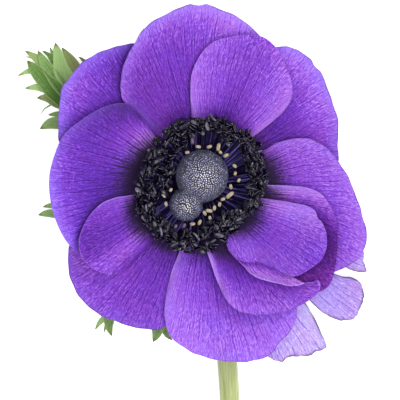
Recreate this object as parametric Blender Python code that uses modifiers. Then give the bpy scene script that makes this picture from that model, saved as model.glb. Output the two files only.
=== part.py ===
"""Anemone flower, cut and laid down: the open head faces up and the stem bends under it
and lies along the surface towards -Y. Metres, +Z up, origin under the middle of the box."""

import bmesh
import bpy
import numpy as np

MM = 0.001

# Driving dimensions, in millimetres. Places are measured from the head's upright axis,
# bearings are in degrees turning from +X to +Y, and heights are above the surface.
STEM_RADIUS = 2.5
STEM_LENGTH_BEHIND = 150.0
NECK_HEIGHT = 11.5
RECEPTACLE_RADIUS = 5.4
RECEPTACLE_TOP = 17.6
PETAL_THICKNESS = 0.45
PETAL_FOOT_RADIUS = 5.9
PETAL_FOOT_WIDTH = 4.0
PALE_FOOT_WIDTH = 1.4
PETAL_RIM_RADIUS = 45.0
BOWL_POWER = 1.5
LOWEST_FOOT = 13.0
FOOT_STEP = 0.8
BRACT_THICKNESS = 0.45
BRACT_FOOT_RADIUS = 3.3
BRACT_FOOT_WIDTH = 3.2
BRACT_FOOT_HEIGHT = 11.4
BRACT_REST_HEIGHT = 0.3
BRACT_DROOP_POWER = 1.7
ANTHER_RING_RADIUS = 16.8
ANTHER_TOP = 25.4
GAP = 0.35

# Height of each whorl of petals at PETAL_RIM_RADIUS, from the lowest whorl to the innermost.
WHORL_RIM_HEIGHTS = {-1: 3.0, 0: 17.0, 1: 20.0, 2: 23.5, 3: 27.0, 4: 31.0}

# Each petal: its whorl, the bearing of its foot, and its margin as (bearing, reach) points.
PETALS = {
    "petal_pale_lower": (-1, 302, [
        (289.8, 44.5), (292, 47.2), (296, 48.6), (300, 49.7), (304, 51.2),
        (308, 51.8), (309.5, 49), (311, 44), (311.8, 39)]),
    "petal_pale_right": (-1, 320, [
        (313.8, 41), (315.5, 45.5), (318, 50.6), (322, 50.2), (326, 49.1),
        (328.2, 47), (328.4, 44)]),
    "petal_pale_small": (-1, 340, [
        (330.2, 43), (331, 45.3), (332.6, 46.8), (335, 45.3), (338, 44.2),
        (339.6, 40), (340, 34)]),
    "petal_outer_upper_left": (0, 140, [
        (109, 28), (113, 37.5), (120, 40), (127, 41.2), (134, 42.2), (140, 41.9),
        (145, 41.9), (151, 40.4), (157, 38.7), (164, 36.5), (170, 29), (169, 17)]),
    "petal_outer_upper_right": (0, 36, [
        (3, 17), (2, 26), (8, 33.8), (16, 35.7), (22, 37.2), (33, 38.8), (39, 40.2),
        (43.5, 41.2), (48, 41.8), (53, 41.6), (58, 40.6), (64, 38), (69, 30), (68, 17)]),
    "petal_outer_lower_left": (0, 230, [
        (201, 17), (200, 27), (204, 35), (209, 37.5), (216, 39.8), (223, 41), (231, 41.1),
        (239, 40), (247, 38.9), (255, 37.4), (261, 32), (262, 24)]),
    "petal_top": (1, 96, [
        (56, 28), (60, 37.5), (69, 40.2), (77, 42.4), (84, 43.8), (89, 44.9),
        (94, 44.8), (100, 43.4), (107, 42.1), (114, 39.2), (120, 36.7), (126, 33.8),
        (131, 30.6), (133, 26), (132, 17)]),
    "petal_right": (1, 354, [
        (317, 28), (322, 37), (329, 41.3), (333, 43.1), (337, 44.2), (343, 43.4),
        (350, 40.8), (356, 38.9), (3, 37.1), (11, 34.7), (18, 32.2), (24, 28.6), (28, 23),
        (27, 17)]),
    "petal_lower": (1, 282, [
        (252, 22.9), (253, 28.5), (255, 34.2), (259, 38.8), (265, 41.3), (270, 42.9),
        (275, 44.1), (281, 45.3), (287, 46.2), (292, 46.2), (297, 44.3), (303, 42.6),
        (308, 39), (310, 30)]),
    "petal_left": (2, 170, [
        (130.5, 23), (132, 27.5), (138, 29.6), (144, 31.2), (152, 33.4), (160, 36),
        (168, 37), (177, 37.7), (186, 37.6), (195, 37.1), (204, 36.2), (210, 34.2), (214, 28),
        (213, 17)]),
    "petal_middle_right": (2, 334, [
        (308, 17), (308, 28), (312, 37.5), (318, 40.2), (322, 40.5), (327, 40), (333, 38.3),
        (340, 36.7), (346, 34.7), (352, 32.3), (356, 29.8), (358.5, 25.5), (359, 17)]),
    "petal_inner_upper_right": (2, 68, [
        (97, 16), (96, 22.5), (94, 28), (89, 33), (84, 35.9), (78, 37.7), (71, 39.4),
        (66, 39.9), (60, 38.8), (54, 36.5), (48, 34.2), (43.5, 31.7), (41, 28), (41, 22),
        (42, 16)]),
    "petal_middle_lower": (3, 298, [
        (275, 16), (278, 20.3), (280, 24.5), (283, 29.9), (287, 33.2), (292, 35.2), (297, 36.7),
        (303, 38), (309, 39.2), (315, 40), (318.5, 40), (320.7, 38.6), (321, 36), (322, 26)]),
    "petal_inner_lower_left": (3, 211, [
        (189, 21), (190.5, 24.3), (194, 27.4), (199, 30.6), (205, 33.4), (211, 34.7),
        (217, 34.4), (222, 33.1), (226, 31.5), (229, 28.5), (230, 23.5)]),
    "petal_inner_lower_right": (4, 322, [
        (296, 16), (297, 23), (300, 26.7), (304.5, 29.6), (309, 32.4), (313, 34.6), (317, 36),
        (321, 35), (326, 35.6), (331, 35.5), (336, 34.4), (341, 32.5), (345, 30.3),
        (348, 28.2), (348.5, 24)]),
}

# Each bract: the bearing of its foot, the reach at which it meets the surface, and its
# outline as (bearing, reach) points: every peak is the tip of one of its cut lobes.
BRACTS = {
    "bract_upper_left": (138, 43, [
        (104, 12), (107, 30), (110, 41), (112, 30), (118, 15), (127, 18), (131, 36), (133, 43.5),
        (135.7, 50.2), (136.6, 46), (138, 50.6), (141, 54), (143.5, 54.7), (146, 49),
        (149.6, 53), (150.4, 46), (152, 49.6), (153.5, 43), (156, 43.5), (157.5, 38),
        (160.8, 42.5), (163, 30), (168, 14)]),
    "bract_lower_left": (224, 38, [
        (183, 12), (186, 28), (188.5, 39.7), (189.7, 36), (190.8, 41.3), (194, 28), (203, 13),
        (218, 14), (229, 32), (234.4, 45.2), (235.8, 38), (237.2, 44.4), (238.5, 41),
        (239.9, 44), (243, 30), (247, 20), (250, 33), (253.5, 41.2), (256, 35), (258, 34),
        (259.7, 39.7), (261, 30), (264, 14)]),
    "bract_right": (10, 31, [
        (338, 12), (341, 26), (344, 33), (347, 27), (350, 33.5), (353, 25), (358, 15),
        (4, 27), (8, 32.5), (11, 28), (15, 33), (19, 26), (26, 15), (32, 27), (36, 34.5),
        (39, 30), (43, 35), (46, 26), (52, 12)]),
}

# The pistil head: two domes grown together, as (x, y, radius, height above the receptacle).
PISTIL_DOMES = [(0.5, 2.0, 6.5, 8.6), (-3.5, -5.2, 4.1, 6.6)]
DOME_SINK = 0.35

# The receptacle, as (height, radius) down the axis, and the stem's middle line from there.
RECEPTACLE_PROFILE = [
    (RECEPTACLE_TOP, RECEPTACLE_RADIUS - 0.8), (RECEPTACLE_TOP - 0.8, RECEPTACLE_RADIUS),
    (LOWEST_FOOT - 0.4, RECEPTACLE_RADIUS), (LOWEST_FOOT - 0.9, 3.4),
]
STEM_ROUTE = [
    (0.0, 0.0, NECK_HEIGHT), (0.0, -0.6, 8.6), (0.3, -2.6, 5.6), (1.2, -6.6, 3.1),
    (3.0, -13.0, STEM_RADIUS), (4.6, -22.0, STEM_RADIUS),
    (5.9, -33.0, STEM_RADIUS), (6.8, -44.0, STEM_RADIUS), (7.6, -56.0, STEM_RADIUS),
    (8.4, -75.0, STEM_RADIUS), (8.3, -100.0, STEM_RADIUS), (6.8, -125.0, STEM_RADIUS),
    (4.2, -STEM_LENGTH_BEHIND, STEM_RADIUS),
]


def clear_scene():
    """Removes whatever the opened file holds, so that the flower stands alone."""
    for old in list(bpy.data.objects):
        bpy.data.objects.remove(old, do_unlink=True)


def material(name, colour, roughness):
    """A plain surface of one colour."""
    made = bpy.data.materials.new(name)
    made.use_nodes = True
    shader = made.node_tree.nodes["Principled BSDF"]
    shader.inputs["Base Color"].default_value = (*colour, 1.0)
    shader.inputs["Roughness"].default_value = roughness
    shader.inputs["Metallic"].default_value = 0.0
    return made


def smooth_path(points, count):
    """Points spaced evenly along the cardinal spline that passes through the given ones."""
    points = np.asarray(points, float)
    ends = np.vstack([2 * points[0] - points[1], points, 2 * points[-1] - points[-2]])
    slope = (ends[2:] - ends[:-2]) / 2
    place = np.linspace(0, len(points) - 1, 24 * len(points))
    span = np.minimum(place.astype(int), len(points) - 2)
    u = (place - span)[:, None]
    dense = (
        points[span] * (2 * u**3 - 3 * u**2 + 1)
        + slope[span] * (u**3 - 2 * u**2 + u)
        + points[span + 1] * (3 * u**2 - 2 * u**3)
        + slope[span + 1] * (u**3 - u**2)
    )
    run = np.concatenate([[0], np.cumsum(np.linalg.norm(np.diff(dense, axis=0), axis=1))])
    wanted = np.linspace(0, run[-1], count)
    return np.column_stack([np.interp(wanted, run, dense[:, k]) for k in range(dense.shape[1])])


def from_bearings(outline):
    """The plan position of each (bearing, reach) point."""
    bearing, reach = np.radians([p[0] for p in outline]), np.array([p[1] for p in outline])
    return np.column_stack([reach * np.cos(bearing), reach * np.sin(bearing)])


def fan(foot_bearing, foot_radius, foot_width, margin, rows):
    """Plan positions of a sheet whose ribs run straight from a short foot arc to its margin.
    The result is an array of rows x ribs x 2, with the foot in the first row."""
    half_turn = foot_width / foot_radius / 2
    first = np.arctan2(*margin[0][::-1]) - np.radians(foot_bearing)
    side = -1.0 if np.sin(first) < 0 else 1.0
    turns = np.radians(foot_bearing) + side * np.linspace(half_turn, -half_turn, len(margin))
    foot = foot_radius * np.column_stack([np.cos(turns), np.sin(turns)])
    along = np.linspace(0, 1, rows)[:, None, None]
    return foot * (1 - along) + margin * along


def sheet_object(name, plan, heights, thickness, skin):
    """A thin solid sheet: a grid primitive laid over the plan positions, then thickened."""
    rows, ribs = heights.shape
    shape = bmesh.new()
    bmesh.ops.create_grid(shape, x_segments=ribs - 1, y_segments=rows - 1, size=1.0)
    shape.verts.ensure_lookup_table()
    for vert in shape.verts:
        rib = round((vert.co.x + 1) / 2 * (ribs - 1))
        row = round((vert.co.y + 1) / 2 * (rows - 1))
        x, y = plan[row, rib]
        vert.co = (x * MM, y * MM, heights[row, rib] * MM)
    bmesh.ops.recalc_face_normals(shape, faces=shape.faces)
    mesh = bpy.data.meshes.new(name)
    shape.to_mesh(mesh)
    shape.free()
    mesh.shade_smooth()
    mesh.materials.append(skin)
    sheet = bpy.data.objects.new(name, mesh)
    thicken = sheet.modifiers.new("thickness", "SOLIDIFY")
    thicken.thickness = thickness * MM
    thicken.offset = 0.0
    return sheet


def petal(name, whorl, foot_bearing, margin, skin):
    """One petal: it leaves the receptacle nearly level and curves up as its whorl does."""
    foot_width = PALE_FOOT_WIDTH if whorl < 0 else PETAL_FOOT_WIDTH
    plan = fan(foot_bearing, PETAL_FOOT_RADIUS, foot_width,
               smooth_path(from_bearings(margin), 18), 6)
    foot_height = LOWEST_FOOT + FOOT_STEP * (whorl + 1)
    run = np.linalg.norm(plan, axis=2) - PETAL_FOOT_RADIUS
    share = np.clip(run / (PETAL_RIM_RADIUS - PETAL_FOOT_RADIUS), 0, None)
    heights = foot_height + (WHORL_RIM_HEIGHTS[whorl] - foot_height) * share**BOWL_POWER
    heights = np.maximum(heights, PETAL_THICKNESS / 2 + 0.05)
    return sheet_object(name, plan, heights, PETAL_THICKNESS, skin)


def bract(name, foot_bearing, rest_reach, outline, skin):
    """One cut leaf of the ruff below the head, drooping from the neck onto the surface."""
    corners = from_bearings(outline)
    plan = fan(foot_bearing, BRACT_FOOT_RADIUS, BRACT_FOOT_WIDTH, corners, 8)
    run = np.linalg.norm(plan, axis=2) - BRACT_FOOT_RADIUS
    left = 1 - np.clip(run / (rest_reach - BRACT_FOOT_RADIUS), 0, 1)
    drop = BRACT_FOOT_HEIGHT - BRACT_REST_HEIGHT
    heights = BRACT_REST_HEIGHT + drop * left**BRACT_DROOP_POWER
    return sheet_object(name, plan, heights, BRACT_THICKNESS, skin)


def stem(name, skin):
    """The stem and the receptacle that it swells into, one grown piece, cut square."""
    route = smooth_path(STEM_ROUTE, 60)
    route[:, 2] = np.maximum(route[:, 2], STEM_RADIUS)
    places = [(0.0, 0.0, height) for height, _ in RECEPTACLE_PROFILE] + list(route)
    widths = [radius / STEM_RADIUS for _, radius in RECEPTACLE_PROFILE] + [1.0] * len(route)
    curve = bpy.data.curves.new(name, "CURVE")
    curve.dimensions = "3D"
    curve.bevel_depth = STEM_RADIUS * MM
    curve.bevel_resolution = 4
    curve.use_fill_caps = True
    spline = curve.splines.new("POLY")
    spline.points.add(len(places) - 1)
    for point, (x, y, z), width in zip(spline.points, places, widths):
        point.co = (x * MM, y * MM, z * MM, 1.0)
        point.radius = width
    curve.materials.append(skin)
    return bpy.data.objects.new(name, curve)


def dome(name, place, grow):
    """One dome of the pistil head, flat below, or its clearance when grown."""
    x, y, radius, height = place
    bpy.ops.mesh.primitive_uv_sphere_add(segments=20, ring_count=12, radius=1.0)
    made = bpy.context.object
    made.name = name
    middle = RECEPTACLE_TOP + GAP + height * DOME_SINK
    tall = height * (1 - DOME_SINK)
    for vert in made.data.vertices:
        vert.co.x = (vert.co.x * (radius + grow) + x) * MM
        vert.co.y = (vert.co.y * (radius + grow) + y) * MM
        low = (RECEPTACLE_TOP + GAP - grow) * MM
        vert.co.z = max((vert.co.z * (tall + grow) + middle) * MM, low)
    made.data.shade_smooth()
    return made


def pistil_head(name, skin, helpers):
    """The two domes of styles, joined where they grow into each other."""
    big = dome(name, PISTIL_DOMES[0], 0.0)
    small = dome("small_dome", PISTIL_DOMES[1], 0.0)
    helpers.append(small)
    join = big.modifiers.new("grown_together", "BOOLEAN")
    join.operation = "UNION"
    join.object = small
    big.data.materials.append(skin)
    return big


def stamens(name, skin, helpers):
    """The ring that the stamens fill: it rises outwards from round the pistil head."""
    profile = [
        (11.0, ANTHER_TOP), (14.5, ANTHER_TOP), (16.2, ANTHER_TOP - 0.8),
        (ANTHER_RING_RADIUS, ANTHER_TOP - 2.2), (16.6, 20.6), (15.6, 19.6), (12.0, 18.8),
        (8.0, RECEPTACLE_TOP + GAP), (4.6, RECEPTACLE_TOP + GAP), (4.6, 19.6),
        (7.4, 22.6),
    ]
    mesh = bpy.data.meshes.new(name)
    corners = [(x * MM, 0.0, z * MM) for x, z in profile]
    count = len(corners)
    mesh.from_pydata(corners, [(i, (i + 1) % count) for i in range(count)], [])
    mesh.materials.append(skin)
    ring = bpy.data.objects.new(name, mesh)
    turn = ring.modifiers.new("turned", "SCREW")
    turn.steps = turn.render_steps = 30
    turn.use_merge_vertices = True
    turn.merge_threshold = 0.00001
    for index, place in enumerate(PISTIL_DOMES):
        clearance = dome(f"dome_clearance_{index + 1}", place, GAP)
        helpers.append(clearance)
        cut = ring.modifiers.new(clearance.name, "BOOLEAN")
        cut.operation = "DIFFERENCE"
        cut.object = clearance
    return ring


def box_middle(objects):
    """The middle of the objects' common box in plan, in metres."""
    graph = bpy.context.evaluated_depsgraph_get()
    corners = []
    for obj in objects:
        shape = obj.evaluated_get(graph)
        mesh = shape.to_mesh()
        corners += [shape.matrix_world @ vert.co for vert in mesh.vertices]
        shape.to_mesh_clear()
    spots = np.array(corners)
    return (spots.min(axis=0) + spots.max(axis=0)) / 2


def build():
    clear_scene()
    flower = bpy.data.collections.new("anemone_flower")
    guides = bpy.data.collections.new("guides")
    bpy.context.scene.collection.children.link(flower)
    bpy.context.scene.collection.children.link(guides)

    violet = material("petal_violet", (0.30, 0.12, 0.72), 0.55)
    lilac = material("petal_lilac", (0.50, 0.36, 0.86), 0.55)
    leaf = material("leaf_green", (0.18, 0.33, 0.09), 0.6)
    pale_green = material("stem_green", (0.45, 0.52, 0.20), 0.5)
    slate = material("pistil_slate", (0.16, 0.16, 0.24), 0.6)
    ink = material("stamen_ink", (0.02, 0.018, 0.04), 0.4)

    helpers = []
    pieces = [stem("stem", pale_green), pistil_head("pistil_head", slate, helpers),
              stamens("stamens", ink, helpers)]
    for name, (whorl, foot_bearing, margin) in PETALS.items():
        pieces.append(petal(name, whorl, foot_bearing, margin, lilac if whorl < 0 else violet))
    for name, (foot_bearing, rest_reach, outline) in BRACTS.items():
        pieces.append(bract(name, foot_bearing, rest_reach, outline, leaf))

    head = bpy.data.objects.new("head_axis", None)
    flower.objects.link(head)
    for group, members in ((flower, pieces), (guides, helpers)):
        for obj in members:
            for old in list(obj.users_collection):
                old.objects.unlink(obj)
            group.objects.link(obj)
            obj.parent = head
    for helper in helpers:
        helper.hide_render = True
        helper.display_type = "WIRE"
    bpy.context.view_layer.update()
    middle = box_middle(pieces)
    head.location = (-middle[0], -middle[1], 0.0)
    bpy.context.view_layer.update()


build()
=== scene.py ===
"""The looks of a cut anemone: fine petals, styles, stamens, bracts and stem laid round its
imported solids. Shapes are worked out in millimetres from the head's upright axis, bearings
turn from +X to +Y, and heights are above the surface that the flower lies on."""

import bpy
import numpy as np
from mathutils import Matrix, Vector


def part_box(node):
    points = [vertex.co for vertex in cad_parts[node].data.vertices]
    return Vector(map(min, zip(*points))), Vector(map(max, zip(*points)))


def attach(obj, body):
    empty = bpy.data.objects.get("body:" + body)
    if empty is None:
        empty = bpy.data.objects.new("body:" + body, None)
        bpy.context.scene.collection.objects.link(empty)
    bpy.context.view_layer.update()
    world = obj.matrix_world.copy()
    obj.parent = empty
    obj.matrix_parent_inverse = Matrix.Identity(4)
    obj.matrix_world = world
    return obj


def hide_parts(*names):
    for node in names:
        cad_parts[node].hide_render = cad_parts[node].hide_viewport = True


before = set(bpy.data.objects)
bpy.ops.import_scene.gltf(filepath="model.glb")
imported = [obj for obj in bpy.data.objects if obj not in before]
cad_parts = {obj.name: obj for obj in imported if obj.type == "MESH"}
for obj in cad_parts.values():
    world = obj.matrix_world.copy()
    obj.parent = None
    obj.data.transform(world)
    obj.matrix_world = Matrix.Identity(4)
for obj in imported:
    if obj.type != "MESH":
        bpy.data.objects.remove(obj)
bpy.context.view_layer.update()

# The studio: white card on the floor and soft lamps overhead, with a long lens that looks
# straight down into the open head. The head's axis is the middle of the stamens' solid.
MM = 0.001
LENS, SENSOR = 1000.0, 36.0
FIELD, LOOK_PLANE, LOOK_OFFSET = 0.100, 0.020, -0.004
FLOOR_SIZE, FLOOR_WHITE, FLOOR_GLOW = 14.0, 0.9, 0.5
KEY_STRENGTH, KEY_SPREAD, KEY_TURN = 2.8, 50.0, (10.0, 9.0)
GLINT_STRENGTH, GLINT_SPREAD, GLINT_TURN = 0.9, 12.0, (-24.0, 30.0)
ROOM_STRENGTH = 0.55

low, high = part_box("stamens")
AXIS = (low + high) / 2
AXIS.z = 0.0

camera = bpy.data.objects.new("camera", bpy.data.cameras.new("camera"))
bpy.context.scene.collection.objects.link(camera)
camera.data.lens, camera.data.sensor_width = LENS, SENSOR
camera.data.clip_end = 30.0
camera.location = (AXIS.x, AXIS.y + LOOK_OFFSET, LOOK_PLANE + FIELD * LENS / SENSOR)
bpy.context.scene.camera = camera
bpy.context.scene.view_settings.view_transform = "Standard"


def sun(name, strength, spread, turn):
    """A lamp overhead, turned by (x, y) degrees, whose light comes from a disc of that spread."""
    lamp = bpy.data.lights.new(name, "SUN")
    lamp.energy = strength
    lamp.angle = np.radians(spread)
    stand = bpy.data.objects.new(name, lamp)
    stand.rotation_euler = (np.radians(turn[0]), np.radians(turn[1]), 0.0)
    bpy.context.scene.collection.objects.link(stand)


sun("softbox", KEY_STRENGTH, KEY_SPREAD, KEY_TURN)
sun("small_lamp", GLINT_STRENGTH, GLINT_SPREAD, GLINT_TURN)

room = bpy.data.worlds.new("room")
room.use_nodes = True
room.node_tree.nodes["Background"].inputs["Color"].default_value = (1.0, 1.0, 1.0, 1.0)
room.node_tree.nodes["Background"].inputs["Strength"].default_value = ROOM_STRENGTH
bpy.context.scene.world = room


class Wire:
    """An output socket in a material. Sums on wires add Math nodes to the same material."""

    def __init__(self, tree, socket=None):
        self.tree, self.socket = tree, socket

    def node(self, kind, settings, inputs, output=0):
        """Adds a node. Its settings are set first, a ramp's stops among them, and then its
        inputs take numbers, colours or wires."""
        made = self.tree.nodes.new(kind)
        for name, value in settings.items():
            if name == "stops":
                bands = made.color_ramp.elements
                while len(bands) < len(value):
                    bands.new(1.0)
                for band, (place, colour) in zip(bands, value):
                    band.position, band.color = place, (*colour, 1.0)
            else:
                setattr(made, name, value)
        for name, value in inputs.items():
            if isinstance(value, Wire):
                self.tree.links.new(value.socket, made.inputs[name])
            else:
                made.inputs[name].default_value = value
        return Wire(self.tree, made.outputs[output])

    def math(self, operation, first, second=0.0):
        return self.node("ShaderNodeMath", {"operation": operation}, {0: first, 1: second})

    def __add__(self, other):
        return self.math("ADD", self, other)

    def __sub__(self, other):
        return self.math("SUBTRACT", self, other)

    def __rsub__(self, other):
        return self.math("SUBTRACT", other, self)

    def __mul__(self, other):
        return self.math("MULTIPLY", self, other)

    def __truediv__(self, other):
        return self.math("DIVIDE", self, other)

    __radd__, __rmul__ = __add__, __mul__

    def parts(self):
        """Wires to the three numbers of a vector."""
        return [self.node("ShaderNodeSeparateXYZ", {}, {0: self}, k) for k in range(3)]

    def stored(self, name):
        """The number that each point of the mesh keeps by that name."""
        return self.node("ShaderNodeAttribute", {"attribute_name": name}, {}, 2)

    def stored_parts(self, name):
        """The three numbers that each point of the mesh keeps by that name."""
        return self.node("ShaderNodeAttribute", {"attribute_name": name}, {}, 1).parts()

    def feed(self, shader, socket):
        """Links this wire to a socket of a shader."""
        self.tree.links.new(self.socket, shader.inputs[socket])

    def rise(self, start, end):
        """0 before start, 1 past end and an even slope that eases in and out between them."""
        return self.node("ShaderNodeMapRange", {"interpolation_type": "SMOOTHSTEP"},
                         {"Value": self, "From Min": start, "From Max": end})

    def noise(self, x, y, detail=2.0, z=0.0):
        """Smooth noise from 0 to 1 whose grains are 1 unit of x, y and z wide."""
        place = self.node("ShaderNodeCombineXYZ", {}, {0: x, 1: y, 2: z})
        return self.node("ShaderNodeTexNoise", {},
                         {"Vector": place, "Scale": 1.0, "Detail": detail, "Roughness": 0.55})

    def mixed(self, first, second):
        """The first colour where this wire is 0, and the second where it is 1."""
        first, second = [(*c, 1.0) if isinstance(c, tuple) else c for c in (first, second)]
        return self.node("ShaderNodeMix", {"data_type": "RGBA"}, {0: self, 6: first, 7: second}, 2)

    def bumped(self, distance=0.0002):
        """A surface direction for the shader, with this wire as a relief that deep in metres."""
        return self.node("ShaderNodeBump", {},
                         {"Height": self, "Distance": distance, "Strength": 0.5})


def new_skin(name, constants):
    """A new material, a wire to build on and its Principled shader with those constants set."""
    skin = bpy.data.materials.new(name)
    skin.use_nodes = True
    shader = skin.node_tree.nodes["Principled BSDF"]
    for socket, value in constants.items():
        shader.inputs[socket].default_value = value
    return skin, Wire(skin.node_tree), shader


card_skin, _, _ = new_skin("white_card", {
    "Roughness": 0.9, "Base Color": (FLOOR_WHITE, FLOOR_WHITE, FLOOR_WHITE, 1.0),
    "Emission Color": (1.0, 1.0, 1.0, 1.0), "Emission Strength": FLOOR_GLOW})
half = FLOOR_SIZE / 2
card = bpy.data.meshes.new("card")
card.from_pydata([(-half, -half, 0), (half, -half, 0), (half, half, 0), (-half, half, 0)],
                 [], [(0, 1, 2, 3)])
card.materials.append(card_skin)
floor = bpy.data.objects.new("card", card)
bpy.context.scene.collection.objects.link(floor)

# The stem: one grown piece with the receptacle that carries the petals, styles and stamens.
# It is pale green, faintly ribbed and downy, bends down behind the head, lies along the
# surface and ends where it was cut, with a moist pith inside a greener wall.
STEM_RADIUS, STEM_SIDES, STEM_RINGS, RECEPTACLE_RINGS, RING_GAP = 2.5, 56, 320, 40, 0.55
STEM_RIBS, RIB_DEPTH, RIB_START, RIB_WANDER, LUMP_DEPTH = 13, 0.016, (20, 30), 0.6, 0.012
NECK_RINGS, NECK_SWELL, SURFACE_GAP = 18, 0.2, 0.02
RECEPTACLE_PROFILE = [(17.6, 0.5), (17.58, 3.2), (17.2, 4.7), (16.4, 5.35), (15.0, 5.4),
                      (13.4, 5.35), (12.6, 5.0), (12.2, 4.1), (11.9, 3.2), (11.5, 2.7)]
STEM_ROUTE = [
    (0.0, 0.0, 11.5), (0.0, -0.6, 8.6), (0.3, -2.6, 5.6), (1.2, -6.6, 3.1),
    (3.0, -13.0, 2.5), (4.6, -22.0, 2.5), (5.9, -33.0, 2.5), (6.8, -44.0, 2.5),
    (7.6, -56.0, 2.5), (8.4, -75.0, 2.5), (8.3, -100.0, 2.5), (6.8, -125.0, 2.5),
    (4.2, -150.0, 2.5)]
# Rings of the cut end, as shares of the stem's radius and places past its last ring.
CUT_RINGS = [(0.97, 0.06), (0.93, 0.1), (0.8, 0.05), (0.74, -0.1), (0.4, -0.22), (0.1, -0.25)]
STEM_SHADED, STEM_LIT, SHADE_UNDER_HEAD = (131, 143, 80), (171, 181, 119), (30, 26, 40)
CUT_WALL, PITH = (172, 186, 110), (232, 236, 206)


def tone(red, green, blue):
    """The light that a colour of the screen stands for, from its 0 to 255 values."""
    share = np.array([red, green, blue]) / 255.0
    light = np.where(share <= 0.04045, share / 12.92, ((share + 0.055) / 1.055) ** 2.4)
    return tuple(float(v) for v in light)


def head_places(wire):
    """Wires to x, y and z in millimetres from the head's axis and the surface."""
    place = wire.node("ShaderNodeTexCoord", {}, {}, 3)
    moved = wire.node("ShaderNodeVectorMath", {"operation": "SUBTRACT"},
                      {0: place, 1: tuple(AXIS)})
    return [part / MM for part in moved.parts()]


def add_mesh(name, points, faces, skin, slot, nodes):
    """A smooth mesh of points in millimetres from the head's axis and arrays of faces. It
    rides on the flower and stands for those CAD nodes."""
    mesh = bpy.data.meshes.new(name)
    places = points.reshape(-1, 3) * MM + np.array(AXIS)
    corners = np.concatenate([group.ravel() for group in faces])
    sizes = np.concatenate([np.full(len(group), group.shape[1]) for group in faces])
    mesh.vertices.add(len(places))
    mesh.vertices.foreach_set("co", places.ravel().astype(np.float32))
    mesh.loops.add(len(corners))
    mesh.loops.foreach_set("vertex_index", corners.astype(np.int32))
    mesh.polygons.add(len(sizes))
    starts = np.concatenate([[0], np.cumsum(sizes)[:-1]])
    mesh.polygons.foreach_set("loop_start", starts.astype(np.int32))
    mesh.update(calc_edges=True)
    mesh.validate()
    mesh.shade_smooth()
    mesh.materials.append(skin)
    piece = bpy.data.objects.new(name, mesh)
    bpy.context.scene.collection.objects.link(piece)
    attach(piece, "root")
    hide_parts(*nodes)
    return piece


def smooth_path(points, count):
    """Points spaced evenly along the cardinal spline that passes through the given ones."""
    points = np.asarray(points, float)
    ends = np.vstack([2 * points[0] - points[1], points, 2 * points[-1] - points[-2]])
    slope = (ends[2:] - ends[:-2]) / 2
    place = np.linspace(0, len(points) - 1, 24 * len(points))
    span = np.minimum(place.astype(int), len(points) - 2)
    u = (place - span)[:, None]
    dense = (
        points[span] * (2 * u**3 - 3 * u**2 + 1)
        + slope[span] * (u**3 - 2 * u**2 + u)
        + points[span + 1] * (3 * u**2 - 2 * u**3)
        + slope[span + 1] * (u**3 - u**2)
    )
    run = np.concatenate([[0], np.cumsum(np.linalg.norm(np.diff(dense, axis=0), axis=1))])
    wanted = np.linspace(0, run[-1], count)
    return np.column_stack([np.interp(wanted, run, dense[:, k]) for k in range(dense.shape[1])])


def unit(vectors):
    """Each vector over its own length."""
    return vectors / (np.linalg.norm(vectors, axis=-1, keepdims=True) + 1e-9)


def swept(middle, side, radius, section, ahead=None):
    """Rings round middle lines shaped (tubes, rings, 3). A ring lies square to its line, or to
    ahead: section gives its (x, y) points at radius 1, with x along side."""
    ahead = unit(np.gradient(middle, axis=1)) if ahead is None else ahead
    side = unit(side - ahead * (side * ahead).sum(axis=-1, keepdims=True))
    up = np.cross(ahead, side)
    wide = radius[..., None, None]
    return middle[:, :, None] + wide * (section[..., :1] * side[:, :, None]
                                        + section[..., 1:] * up[:, :, None])


def round_section(sides):
    """Points of a circle of radius 1: the cosine and sine of even turns."""
    turn = np.linspace(0, 2 * np.pi, sides, endpoint=False)
    return np.stack([np.cos(turn), np.sin(turn)], axis=-1)


def tubes(rings):
    """Closed tubes from rings of points, shaped (tubes, rings, sides, 3): quads between each
    ring and the next, and a fan of triangles from each end ring to its middle."""
    count, stations, sides = rings.shape[:3]
    index = np.arange(count * stations * sides).reshape(count, stations, sides)
    ahead = np.roll(index, -1, axis=2)
    walls = np.stack([index[:, :-1], ahead[:, :-1], ahead[:, 1:], index[:, 1:]], axis=-1)
    poles = (np.arange(2 * count) + index.size).reshape(2, count, 1)
    first, last = np.broadcast_to(poles, (2, count, sides))
    ends = np.concatenate([np.stack([ahead[:, 0], index[:, 0], first], axis=-1),
                           np.stack([index[:, -1], ahead[:, -1], last], axis=-1)])
    points = np.concatenate([rings.reshape(-1, 3), rings[:, 0].mean(axis=1),
                             rings[:, -1].mean(axis=1)])
    return points, [walls.reshape(-1, 4), ends.reshape(-1, 3)]


def set_value(piece, name, values):
    """Gives each point of a piece a number, or three, that its material reads by that name."""
    kind, key = ("FLOAT", "value") if values.ndim == 1 else ("FLOAT_VECTOR", "vector")
    layer = piece.data.attributes.new(name, kind, "POINT")
    layer.data.foreach_set(key, values.ravel().astype(np.float32))


def joined(parts):
    """Several (points, faces) as one."""
    starts = np.cumsum([0] + [len(points) for points, _ in parts])
    faces = [group + start for start, (_, groups) in zip(starts, parts) for group in groups]
    return np.concatenate([points for points, _ in parts]), faces


def eased(value, start, end):
    """0 before start, 1 past end, and 3 t squared less 2 t cubed between them."""
    t = np.clip((value - start) / (end - start), 0, 1)
    return t * t * (3 - 2 * t)


def along_tubes(values, sides):
    """One value for each point of tubes, from an array shaped (tubes, rings)."""
    return np.concatenate([np.repeat(values.ravel(), sides), values[:, 0], values[:, -1]])


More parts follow.
